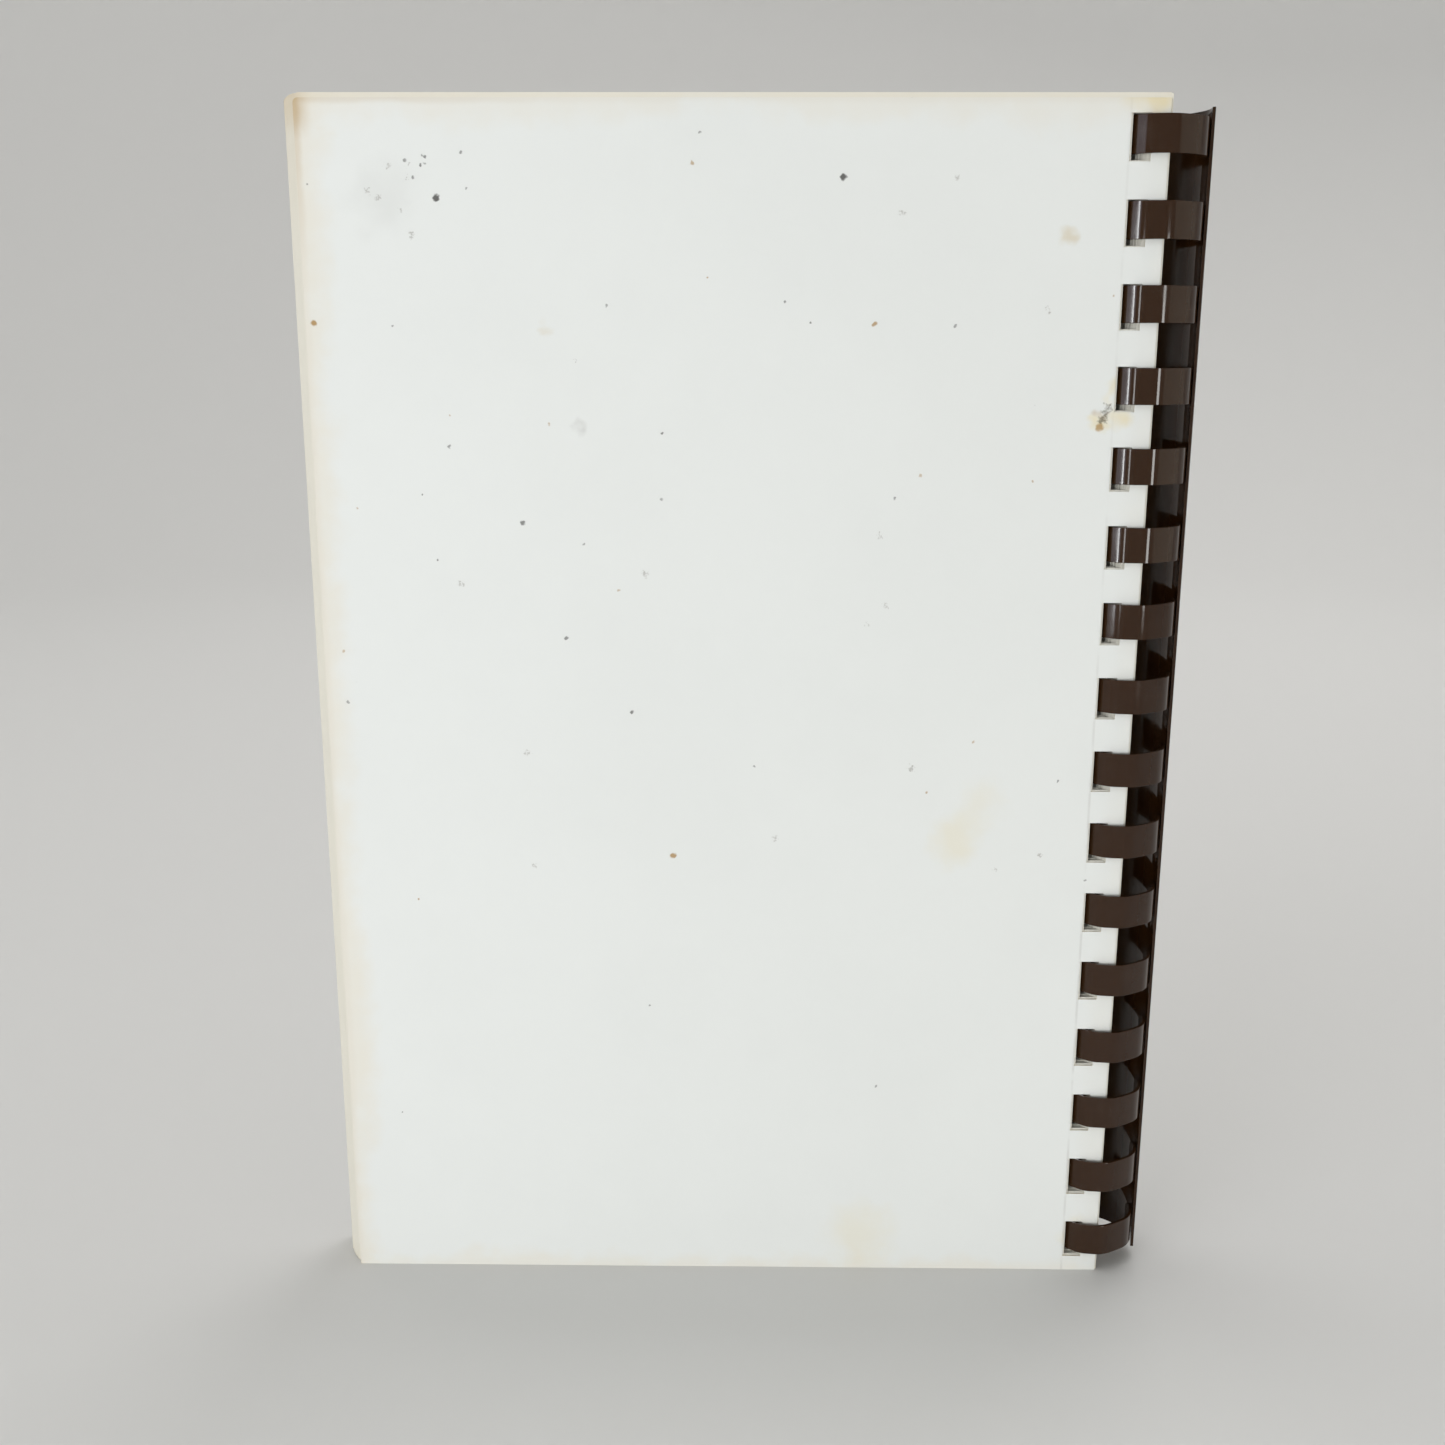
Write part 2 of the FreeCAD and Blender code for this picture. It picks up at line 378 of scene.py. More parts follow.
BACK_MARKS = (
    Mark(0.16, 14.25, 0.75, strength=0.9),
    Mark(0.63, 14.5, 0.75, strength=0.9),
    Mark(0.25, 10.25, 0.6, strength=0.75),
    Mark(0.3, 8.75, 0.4, strength=0.7),
    Mark(0.38, 7.75, 0.4, strength=0.75),
    Mark(0.01, 12.75, 0.75, RUST, 0.9),
    Mark(0.67, 12.75, 0.6, RUST, 0.8),
    Mark(0.43, 5.75, 0.8, RUST, 0.85),
    Mark.scuff(0.73, 7.0, 0.7, 0.7),
    Mark.scuff(0.56, 6.0, 0.8, 0.5),
    Mark.stain(0.79, 6.0, 7.5, STRAW, 0.24),
    Mark.stain(0.82, 6.5, 7.0, STRAW, 0.14),
    Mark.stain(0.68, 0.0, 10.0, STRAW, 0.2),
    Mark.stain(0.98, 15.5, 6.5, STRAW, 0.55),
    Mark.stain(0.98, 0.0, 5.5, STRAW, 0.32),
    Mark.stain(0.1, 14.25, 8.5, SCUFF, 0.1),
    Mark.stain(0.32, 11.5, 2.0, SCUFF, 0.3),
    Mark.stain(0.28, 12.75, 1.8, TAN, 0.3),
    Mark.stain(0.89, 13.75, 2.2, TAN, 0.65),
    *run_stain(0.94, 11.5),
)
BACK_SPRINKLES = (
    Sprinkle(24, Blot.DOT, (SOOT, SOOT, SOOT, RUST), levels=(9.0, 15.5)),
    Sprinkle(12, Blot.DOT, (SOOT, SOOT, RUST), levels=(0.0, 9.0)),
    Sprinkle(8, Blot.DOT, (SOOT,), levels=(14.0, 15.0), across=(0.1, 0.2)),
    Sprinkle(7, Blot.SCRATCH, (SCUFF,), levels=(13.75, 14.75), across=(0.08, 0.14), radius=(0.5, 0.7)),
    Sprinkle(14, Blot.SCRATCH, (SCUFF,), levels=(4.0, 15.5), radius=(0.35, 0.8)),
)
FRONT_MARKS = (
    Mark.stain(0.16, 12.0, 9.0, STRAW, 0.22),
    Mark.stain(0.62, 3.5, 7.0, STRAW, 0.18),
    Mark.stain(0.86, 1.0, 3.0, TAN, 0.35),
    Mark.stain(0.46, 14.0, 6.0, TAN, 0.16),
)
FRONT_SPRINKLES = (
    Sprinkle(9, Blot.DOT, (SOOT, SOOT, RUST), levels=(0.0, 15.5), radius=(0.35, 0.5)),
    Sprinkle(3, Blot.SCRATCH, (SCUFF,), levels=(0.0, 15.5), radius=(0.5, 1.1)),
)


@dataclass(frozen=True)
class SheetPaper:
    """Uncoated stock seen from its own place: tanned towards its edges and cloudy with fibres."""

    name: str
    width: float
    height: float
    middle: Colour
    tanned: Colour
    tan_reach: float
    rim: Colour
    row: FingerRow
    wear: float = 1.0
    # how much painted shade darkens the rims near the spine, where the comb shades them
    spine_rim_shade: float = 0.0
    crease: float | None = None
    marks: tuple[Mark, ...] = ()

    def material(self) -> bpy.types.Material:
        """Builds the material from the sheet's own place: across, side and up.

        Returns:
            The paper, with its yellowing, the painted shade along its crease and its marks.
        """
        shader = Shader(self.name)
        place = shader.node("ShaderNodeAttribute", {"attribute_name": "place"}).outputs["Vector"]
        parts = shader.node("ShaderNodeSeparateXYZ", None, {0: place})
        across, side, up = (Signal(shader, socket) for socket in parts.outputs)
        warps = {
            Blot.DOT: shader.warped(place, 0.9 * MM, 1.0 * MM),
            Blot.SCRATCH: shader.warped(place, 0.55 * MM, 2.6 * MM),
            Blot.STAIN: shader.warped(place, 6 * MM, 9 * MM),
        }
        clouds = shader.noise(place, 26 * MM, 4.0)
        patches = shader.noise(place, 7 * MM, 4.0)
        fibres = shader.noise(shader.stretched(place, 2.6), 0.5 * MM, 5.0)
        wander = (patches - 0.5) * (9 * MM) + (clouds - 0.5) * (8 * MM)
        cloudy = tuple(channel * 0.972 for channel in self.middle)
        colour = shader.mix(clouds.fade(0.35, 0.7) * 0.5, self.middle, cloudy)
        colour = self.tan_edges(shader, colour, across, up, wander)
        # Painted shade: a thin darker line in the crease's groove.
        if self.crease is not None:
            colour = self.paint_crease_shade(shader, colour, across, up, patches)
        for mark in self.marks:
            colour = self.add_mark(shader, colour, warps[mark.blot], mark)
        colour = self.add_fly_specks(shader, colour, place)
        colour = shader.mix(fibres.fade(0.62, 0.8) * 0.10, colour, self.tanned)
        rim = 1.0 - (side * side).fade(0.55, 0.95)
        # Painted shade: the rims darken towards yellowed brown near the spine, where the comb shades them;
        # this also dims their reflection in the comb.
        near_spine = across.fade(self.width - 4 * MM, self.width - 1 * MM)
        edge = shader.mix(near_spine * self.spine_rim_shade, self.rim, YELLOWED)
        colour = shader.mix(rim, colour, edge)
        height = fibres * 0.7 + patches * 1.5
        return shader.finish(
            Base_Color=colour,
            Roughness=0.66 + fibres.fade(0.3, 0.7) * 0.14,
            IOR=1.42,
            Normal=shader.bump(height, 0.02 * MM),
        )

    def tan_edges(
        self,
        shader: Shader,
        colour: object,
        across: Signal,
        up: Signal,
        wander: Signal,
    ) -> bpy.types.NodeSocket:
        """Yellows the sheet towards its fore-edge most, and less towards its other edges.

        Args:
            shader: the material.
            colour: the colour so far.
            across: the distance from the fore-edge.
            up: the distance from the foot.
            wander: how far the yellowing strays from the edge.

        Returns:
            The yellowed colour.
        """
        reach = self.tan_reach
        fore = (across + wander).fade(reach, 0.0)
        head = (up * -1.0 + self.height + wander).fade(reach * 0.75, 0.0)
        foot = (up + wander).fade(reach * 0.6, 0.0)
        spine = (across * -1.0 + self.width + wander).fade(reach * 0.8, 0.0)
        colour = shader.mix(fore * (0.06 + 0.24 * self.wear), colour, self.tanned)
        colour = shader.mix(head * 0.18, colour, self.tanned)
        colour = shader.mix(foot * 0.22, colour, self.tanned)
        colour = shader.mix(spine * 0.08, colour, self.tanned)
        head_end = (up * -1.0 + self.height).fade(34 * MM, 0.0)
        rubbed = (across + wander * 0.15).fade(1.5 * MM, 0.2 * MM)
        colour = shader.mix(rubbed * (0.07 + head_end * 0.30) * self.wear, colour, YELLOWED)
        rubbed_head = (up * -1.0 + self.height + wander * 0.12).fade(1.3 * MM, 0.2 * MM)
        near_fore = across.fade(60 * MM, 0.0)
        colour = shader.mix(rubbed_head * (near_fore * 0.18 + 0.05) * self.wear, colour, YELLOWED)
        corner = (across + wander * 0.2).fade(3.5 * MM, 0.0) * head_end.fade(0.88, 1.0)
        return shader.mix(corner * 0.6 * self.wear, colour, YELLOWED)

    def paint_crease_shade(
        self,
        shader: Shader,
        colour: object,
        across: Signal,
        up: Signal,
        patches: Signal,
    ) -> bpy.types.NodeSocket:
        """Paints a thin line of shade where the card bends, stronger near the foot: painted shade standing in
        for the crease's groove.

        Args:
            shader: the material.
            colour: the colour so far.
            across: the distance from the fore-edge.
            up: the distance from the foot.
            patches: noise that breaks the line up.

        Returns:
            The colour with the painted crease shade.
        """
        away = (across - self.crease) ** 2.0
        line = away.fade((0.32 * MM) ** 2, 0.0) * patches.fade(0.35, 0.6)
        # painted shade, drawn in the scuff colour; it is not a scuff
        return shader.mix(line * (up.fade(0.16, 0.08) * 0.14 + 0.08), colour, SCUFF)

    def add_mark(
        self,
        shader: Shader,
        colour: object,
        warp: bpy.types.NodeSocket,
        mark: Mark,
    ) -> bpy.types.NodeSocket:
        """Lays one mark over the colour, on the outer face only.

        Args:
            shader: the material.
            colour: the colour so far.
            warp: the sheet's own place, shifted about to make the mark ragged.
            mark: what to lay down.

        Returns:
            The colour with the mark.
        """
        centre = (mark.across * self.width, 1.0, self.row.level(mark.level))
        gap = shader.node("ShaderNodeVectorMath", {"operation": "DISTANCE"}, {0: warp, 1: centre})
        heart = 0.45 if mark.blot is Blot.DOT else 0.1
        spot = Signal(shader, gap.outputs["Value"]).fade(mark.radius * MM, mark.radius * heart * MM)
        return shader.mix(spot * mark.strength, colour, mark.colour)

    def add_fly_specks(self, shader: Shader, colour: object, place: bpy.types.NodeSocket) -> object:
        """Scatters faint pinpoint specks over the whole sheet.

        Args:
            shader: the material.
            colour: the colour so far.
            place: the sheet's own place.

        Returns:
            The colour with the specks.
        """
        inputs = {"Vector": place, "Scale": 1.0 / (11 * MM), "Randomness": 1.0}
        cells = shader.node("ShaderNodeTexVoronoi", None, inputs)
        chance = shader.node("ShaderNodeSeparateColor", None, {0: cells.outputs["Color"]})
        near = Signal(shader, cells.outputs["Distance"]).fade(0.026, 0.010)
        shown = Signal(shader, chance.outputs[0]).fade(0.45, 0.9)
        return shader.mix(near * shown * 0.40, colour, SOOT)


@dataclass(frozen=True)
class StudioPaint:
    """Plain pale matte paint for the studio floor."""

    colour: Colour = (0.70, 0.695, 0.68)

    def material(self) -> bpy.types.Material:
        """Builds the material."""
        return Shader("studio_floor").finish(Base_Color=self.colour, Roughness=0.8)


def finished_object(
    name: str,
    form: bmesh.types.BMesh,
    material: bpy.types.Material,
    smooth_below: float,
) -> bpy.types.Object:
    """Turns a finished bmesh into an object at the origin.

    Args:
        name: the object's name.
        form: the shape, which is freed.
        material: its material.
        smooth_below: the angle in degrees below which an edge is shaded smooth.

    Returns:
        The new object, linked to the scene.
    """
    mesh = bpy.data.meshes.new(name)
    form.to_mesh(mesh)
    form.free()
    mesh.materials.append(material)
    mesh.shade_smooth()
    mesh.set_sharp_from_angle(angle=math.radians(smooth_below))
    made = bpy.data.objects.new(name, mesh)
    bpy.context.scene.collection.objects.link(made)
    return made


@dataclass
class FingerRow:
    """The row of fingers along the spine, and the holes that they pass through."""

    count: int = 16
    pitch: float = 14.2875 * MM
    width: float = 6.5 * MM
    first_foot: float = 4.44 * MM
    hole_foot_gap: float = 1.3 * MM
    hole_head_gap: float = 0.2 * MM
    hole_width: float = 3.2 * MM

    def feet(self) -> list[float]:
        """Height of the foot of each finger."""
        return [self.first_foot + index * self.pitch for index in range(self.count)]

    def level(self, fingers: float) -> float:
        """Height of the middle of a finger, counted from the lowest one, or of a place between two."""
        return self.first_foot + fingers * self.pitch + self.width / 2

    def holes(self) -> list[tuple[float, float]]:
        """Foot and head of each hole."""
        return [(foot - self.hole_foot_gap, foot + self.width + self.hole_head_gap) for foot in self.feet()]


@dataclass
class Comb:
    """The plastic comb: a curved strip, and fingers that curl out of it and tuck back inside it."""

    row: FingerRow
    axis: Vector
    wall: float = 0.6 * MM
    bore: float = 8.4 * MM
    tip_gap: float = 0.2 * MM
    strip_margin: float = 1.8 * MM
    strip_edge: float = -17.0
    root: float = 70.0
    curl: float = 180.0
    tip: float = 120.0
    corner: float = 1.7 * MM
    cut_edge: float = 0.07 * MM
    kinks: tuple[float, float, float, float] = (205.0, 250.0, 278.0, 322.0)
    kink_depths: tuple[float, float, float] = (0.52 * MM, 0.26 * MM, 0.40 * MM)
    kink_softness: float = 6.0
    strip_steps: int = 30
    curl_steps: int = 120
    tip_steps: int = 80
    sharp_edge: float = 45.0
    smooth_below: float = 20.0

    def curl_centre(self) -> Vector:
        """Centre of the half circle between the strip and the fingers' free ends."""
        offset = (self.wall + self.tip_gap) / 2
        turn = math.radians(self.root)
        return self.axis + Vector((offset * math.cos(turn), offset * math.sin(turn), 0.0))

    def on_ring(self, centre: Vector, radius: float, degrees: float, z: float) -> Vector:
        """A point at a radius and an angle about a centre."""
        turn = math.radians(degrees)
        return Vector((centre.x + radius * math.cos(turn), centre.y + radius * math.sin(turn), z))

    def strip_end(self) -> bmesh.types.BMesh:
        """The cut edge of the strip: one face across the wall, divided at every finger."""
        form = bmesh.new()
        inner = self.bore + self.wall + self.tip_gap
        foot = self.row.first_foot - self.strip_margin
        head = self.row.feet()[-1] + self.row.width + self.strip_margin
        ends = ((inner, foot), (inner + self.wall, foot), (inner + self.wall, head), (inner, head))
        corners = [form.verts.new(self.on_ring(self.axis, radius, self.strip_edge, z)) for radius, z in ends]
        form.faces.new(corners)
        for low in self.row.feet():
            for level in (low, low + self.row.width):
                self.cut_level(form, level)
        return form

    @staticmethod
    def cut_level(form: bmesh.types.BMesh, level: float) -> None:
        """Cuts every face of the form at a height."""
        whole = form.verts[:] + form.edges[:] + form.faces[:]
        bmesh.ops.bisect_plane(form, geom=whole, plane_co=(0, 0, level), plane_no=(0, 0, 1))

    def sweep(
        self,
        form: bmesh.types.BMesh,
        faces: list[bmesh.types.BMFace],
        centre: Vector,
        degrees: float,
        steps: int,
    ) -> list[bmesh.types.BMFace]:
        """Spins faces about an upright axis, leaving a wall behind them.

        Args:
            form: the comb so far.
            faces: the faces that move.
            centre: the axis.
            degrees: how far they turn.
            steps: in how many steps.

        Returns:
            The faces at the end of the turn.
        """
        made = bmesh.ops.spin(
            form,
            geom=faces,
            cent=centre,
            axis=(0, 0, 1),
            angle=math.radians(degrees),
            steps=steps,
        )
        return [item for item in made["geom_last"] if isinstance(item, bmesh.types.BMFace)]

    def is_finger(self, face: bmesh.types.BMFace) -> bool:
        """Whether a face lies within the height of one of the fingers."""
        z = face.calc_center_median().z
        return any(foot < z < foot + self.row.width for foot in self.row.feet())

    def unrolled(self, point: Vector) -> float:
        """Angle of a point about the comb's axis, counted on from the strip's root to the tip."""
        angle = math.degrees(math.atan2(point.y - self.axis.y, point.x - self.axis.x)) % 360.0
        free_end = self.root + self.curl + self.tip
        radius = (point.xy - self.axis.xy).length
        tucked = angle < free_end - 360.0 + 1.0 and radius < self.bore + self.wall + self.tip_gap / 2
        return angle + 360.0 if tucked else angle

    def dip(self, angle: float) -> float:
        """How far a finger lies inside its round curl at an angle, because it runs straight between kinks."""
        for start, end, depth in zip(self.kinks, self.kinks[1:], self.kink_depths):
            if start < angle < end:
                share = (angle - start) / (end - start)
                return depth * 4.0 * share * (1.0 - share)
        return 0.0

    def shape_finger(self, vertex: bmesh.types.BMVert) -> None:
        """Gives a finger its flats between kinks and the round corners of its tip.

        Args:
            vertex: a point of the finger, which is moved.
        """
        angle = self.unrolled(vertex.co)
        out = Vector((vertex.co.x - self.axis.x, vertex.co.y - self.axis.y, 0.0)).normalized()
        softness = (-1.0, -0.5, 0.0, 0.5, 1.0)
        dips = [self.dip(angle + self.kink_softness * share) for share in softness]
        vertex.co -= out * sum(dips) / len(dips)
        free_end = self.root + self.curl + self.tip
        from_tip = math.radians(free_end - angle) * (self.bore + self.wall / 2)
        if from_tip < self.corner:
            run = self.corner - max(from_tip, 0.0)
            pull = self.corner - math.sqrt(max(self.corner**2 - run**2, 0.0))
            middles = (foot + self.row.width / 2 for foot in self.row.feet())
            middle = min(middles, key=lambda z: abs(z - vertex.co.z))
            vertex.co.z += math.copysign(pull, middle - vertex.co.z)

    def build(self, material: bpy.types.Material) -> bpy.types.Object:
        """Builds the comb as one piece.

        Args:
            material: its plastic.

        Returns:
            The comb.
        """
        form = self.strip_end()
        ends = self.sweep(form, form.faces[:], self.axis, self.root - self.strip_edge, self.strip_steps)
        roots = [face for face in ends if self.is_finger(face)]
        shoulders = self.sweep(form, roots, self.curl_centre(), self.curl, self.curl_steps)
        self.sweep(form, shoulders, self.axis, self.tip, self.tip_steps)
        bmesh.ops.recalc_face_normals(form, faces=form.faces[:])
        for vertex in form.verts:
            if self.is_curled(vertex):
                self.shape_finger(vertex)
        sharp = [edge for edge in form.edges if edge.calc_face_angle(0.0) > math.radians(self.sharp_edge)]
        bmesh.ops.bevel(
            form,
            geom=sharp,
            offset=self.cut_edge,
            segments=2,
            profile=0.5,
            affect="EDGES",
            clamp_overlap=True,
            material=-1,
        )
        return finished_object("plastic_comb", form, material, self.smooth_below)

    def is_curled(self, vertex: bmesh.types.BMVert) -> bool:
        """Whether a vertex belongs to a finger and not to the strip."""
        radius = (vertex.co.xy - self.axis.xy).length
        angle = math.degrees(math.atan2(vertex.co.y - self.axis.y, vertex.co.x - self.axis.x))
        beside_strip = self.strip_edge - 1.0 < angle < self.root + 0.01
        return not beside_strip or radius < self.bore + self.wall + self.tip_gap / 2


@dataclass
class Block:
    """The whole stack of sheets, which bows a little all together, as a used book does."""

    fore_edge: float
    spine: float
    head: float
    bow: float = 0.35 * MM
    lift: float = 0.25 * MM

    def ripple(self, x: np.ndarray, z: np.ndarray) -> np.ndarray:
        """How far towards the back cover the stack bows.

        Args:
            x: places across.
            z: places up.

        Returns:
            The bow at each place, none at the spine.
        """
        across = np.clip((self.spine - x) / (self.spine - self.fore_edge), 0.0, 1.0)
        up = z / self.head
        free = across**1.5 * (1.0 - 0.35 * across)
        waves = np.sin(2.2 * up + 2.4 * across) + 0.35 * np.sin(7.0 * up - 3.0 * across)
        return free * self.bow * waves


@dataclass
class Sheet:
    """One punched sheet, from the box of its CAD nodes, made flat and then laid in the block."""

    row: FingerRow
    left: float
    right: float
    head: float
    near: float
    far: float
    spine_margin: float
    hole_slack: float = 0.0
    corner: float = 0.9 * MM
    columns: list[float] = field(default_factory=list)
    stride: float = 7.0 * MM
    smooth_below: float = 30.0

    def hole_sides(self) -> tuple[float, float]:
        """Left and right side of the holes."""
        right = self.right - self.spine_margin
        return right - self.row.hole_width - self.hole_slack, right

    def cuts(self) -> tuple[list[float], list[float]]:
        """Where the sheet is divided, across and up."""
        hole_left, hole_right = self.hole_sides()
        steps = int((hole_left - self.left) / self.stride)
        plain = [self.left + (hole_left - self.left) * index / steps for index in range(1, steps)]
        across = sorted(plain + [hole_left, hole_right] + self.columns)
        up = sorted(level for hole in self.row.holes() for level in hole)
        return across, up

    def in_hole(self, face: bmesh.types.BMFace) -> bool:
        """Whether a face of the flat sheet lies in one of the holes."""
        hole_left, hole_right = self.hole_sides()
        middle = face.calc_center_median()
        return hole_left < middle.x < hole_right and any(a < middle.z < b for a, b in self.row.holes())

    def is_worn_corner(self, vertex: bmesh.types.BMVert) -> bool:
        """Whether a vertex is the corner between the sheet's fore-edge and its head, which wears round."""
        return vertex.co.z > self.head - TOUCH and vertex.co.x < self.left + TOUCH

    def form(self) -> bmesh.types.BMesh:
        """Builds the flat punched sheet, with its near face towards -Y.

        Returns:
            The sheet as a closed form.
        """
        form = bmesh.new()
        bmesh.ops.create_grid(form, x_segments=1, y_segments=1, size=0.5)
        size = Matrix.Diagonal((self.right - self.left, 1.0, self.head, 1.0))
        upright = Matrix.Rotation(math.radians(90), 4, "X")
        centre = Matrix.Translation(((self.left + self.right) / 2, self.far, self.head / 2))
        bmesh.ops.transform(form, matrix=centre @ size @ upright, verts=form.verts)
        across, up = self.cuts()
        for x in across:
            whole = form.verts[:] + form.edges[:] + form.faces[:]
            bmesh.ops.bisect_plane(form, geom=whole, plane_co=(x, 0, 0), plane_no=(1, 0, 0))
        for z in up:
            whole = form.verts[:] + form.edges[:] + form.faces[:]
            bmesh.ops.bisect_plane(form, geom=whole, plane_co=(0, 0, z), plane_no=(0, 0, 1))
        bmesh.ops.delete(form, geom=[face for face in form.faces if self.in_hole(face)], context="FACES")
        corners = [vertex for vertex in form.verts if self.is_worn_corner(vertex)]
        bmesh.ops.bevel(
            form,
            geom=corners,
            offset=self.corner,
            segments=5,
            profile=0.5,
            affect="VERTICES",
            clamp_overlap=True,
            material=-1,
        )
        pushed = bmesh.ops.extrude_face_region(form, geom=form.faces[:])
        moved = [item for item in pushed["geom"] if isinstance(item, bmesh.types.BMVert)]
        bmesh.ops.translate(form, verts=moved, vec=(0, self.near - self.far, 0))
        bmesh.ops.recalc_face_normals(form, faces=form.faces[:])
        return form


def lay_in_block(made: bpy.types.Object, sheet: Sheet, block: Block, outer_near: bool) -> None:
    """Writes each point's own place on its sheet, then bows the sheet with its block.

    Args:
        made: the flat sheet's object.
        sheet: its sizes.
        block: the block that it lies in.
        outer_near: whether the sheet's outer face is the one towards -Y.
    """
    mesh = made.data
    points = np.empty(len(mesh.vertices) * 3, np.float32)
    mesh.vertices.foreach_get("co", points)
    points = points.reshape(-1, 3)
    middle = (sheet.near + sheet.far) / 2
    side = np.where(points[:, 1] < middle, 1.0, -1.0) * (1.0 if outer_near else -1.0)
    place = np.column_stack((points[:, 0] - sheet.left, side, points[:, 2])).astype(np.float32)
    attribute = mesh.attributes.new("place", "FLOAT_VECTOR", "POINT")
    attribute.data.foreach_set("vector", place.ravel())
    points[:, 1] -= block.ripple(points[:, 0], points[:, 2])
    mesh.vertices.foreach_set("co", points.ravel())
    mesh.update()


@dataclass
class Cover:
    """One creased card, held by the comb on one side of the crease; the real card opens on the other side, but
    here it is built as one flat piece.
    """

    side: CoverSide
    row: FingerRow
    block: Block
    spine_margin: float = 3.05 * MM
    hole_slack: float = 0.5 * MM
    bend: float = 0.7 * MM
    seed: int = 7

    def nodes(self) -> tuple[str, str]:
        """The CAD nodes that the card stands for: its panel and its binding strip."""
        return f"{self.side.value}_cover", f"{self.side.value}_cover_binding_strip"

    def sheet(self) -> Sheet:
        """The card's sizes, from the boxes of its CAD nodes."""
        panel, strip = (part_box(node) for node in self.nodes())
        crease = panel[1].x
        columns = [crease + self.bend * share for share in (-1.0, -0.6, -0.3, 0.0, 0.3, 0.6)]
        return Sheet(
            self.row,
            left=panel[0].x,
            right=strip[1].x,
            head=panel[1].z,
            near=panel[0].y,
            far=panel[1].y,
            spine_margin=self.spine_margin,
            hole_slack=self.hole_slack,
            columns=columns,
        )

    def marks(self) -> tuple[Mark, ...]:
        """The marks on the card's outer face: the large ones, then the small ones that fall at random."""
        back = self.side is CoverSide.BACK
        dice = random.Random(self.seed)
        sprinkles = BACK_SPRINKLES if back else FRONT_SPRINKLES
        small = [mark for sprinkle in sprinkles for mark in sprinkle.marks(dice)]
        return (*(BACK_MARKS if back else FRONT_MARKS), *small)

    def paper(self, sheet: Sheet) -> SheetPaper:
        """The card's finish."""
        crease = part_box(self.nodes()[0])[1].x - sheet.left
        return SheetPaper(
            f"{self.side.value}_cover_card",
            width=sheet.right - sheet.left,
            height=sheet.head,
            middle=(0.80, 0.815, 0.79),
            tanned=(0.76, 0.64, 0.44),
            tan_reach=7 * MM,
            rim=(0.70, 0.63, 0.48),
            row=self.row,
            crease=crease,
            marks=self.marks(),
        )

    def build(self) -> bpy.types.Object:
        """Builds the card flat, with extra cuts about its crease, and bows it with the block.

        Returns:
            The card.
        """
        sheet = self.sheet()
        panel, strip = self.nodes()
        name = f"{self.side.value}_card"
        card = finished_object(name, sheet.form(), self.paper(sheet).material(), sheet.smooth_below)
        lay_in_block(card, sheet, self.block, self.side is CoverSide.BACK)
        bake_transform(card)
        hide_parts(panel, strip)
        return card


@dataclass
class Leaves:
    """All the leaves of the text block, each its own sheet."""

    row: FingerRow
    block: Block
    count: int = 54
    spine_margin: float = 3.3 * MM
    hole_slack: float = 0.25 * MM
    slide: float = 0.38 * MM
    scatter: float = 0.2 * MM
    seed: int = 11

    def sheet(self, node: str) -> Sheet:
        """The sizes of one leaf, from its CAD node's box."""
        low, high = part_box(node)
        return Sheet(self.row, low.x, high.x, high.z, low.y, high.y, self.spine_margin, self.hole_slack)

    def paper(self, sheet: Sheet) -> SheetPaper:
        """The leaves' finish."""
        return SheetPaper(
            "leaf_paper",
            width=sheet.right - sheet.left,
            height=sheet.head,
            middle=(0.80, 0.785, 0.72),
            tanned=(0.72, 0.62, 0.42),
            tan_reach=9 * MM,
            # The rim is a little lighter than the face: partly the paper's own edge colour, partly painted
            # light for the window's light on the leaf edges at the fore-edge.
            rim=(0.84, 0.82, 0.735),
            row=self.row,
            wear=0.35,
            # painted shade on the leaves' rims near the spine
            spine_rim_shade=0.6,
        )

    def build(self) -> list[bpy.types.Object]:
        """Builds the leaves, each knocked up a little unevenly against its neighbours.

        Returns:
            The leaves, from the front cover to the back cover.
        """
        dice = random.Random(self.seed)
        first = self.sheet("leaf_01")
        material = self.paper(first).material()
        pattern = finished_object("leaf_pattern", first.form(), material, first.smooth_below)
        made = []
        for index in range(1, self.count + 1):
            node = f"leaf_{index:02d}"
            sheet = self.sheet(node)
            leaf = bpy.data.objects.new(f"page_{index:02d}", pattern.data.copy())
            bpy.context.scene.collection.objects.link(leaf)
            shift = Vector((sheet.left - first.left, sheet.far - first.far, 0.0))
            leaf.data.transform(Matrix.Translation(shift))
            lay_in_block(leaf, sheet, self.block, True)
            across = self.slide - self.scatter * dice.random()
            knock = (across, 0.0, self.block.lift * dice.random())
            leaf.data.transform(Matrix.Translation(knock))
            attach(leaf, body_with(node))
            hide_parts(node)
            made.append(leaf)
        bpy.data.objects.remove(pattern)
        return made


@dataclass(frozen=True)
class Lamp:
    """A soft rectangular light, with its glow as the radiance of its face; some are flagged off the floor."""

    name: str
    place: Colour
    size: tuple[float, float]
    glow: float
    tint: Colour = (1.0, 1.0, 1.0)
    aim: Colour = (0.0, 0.0, 0.11)
    book_only: bool = False


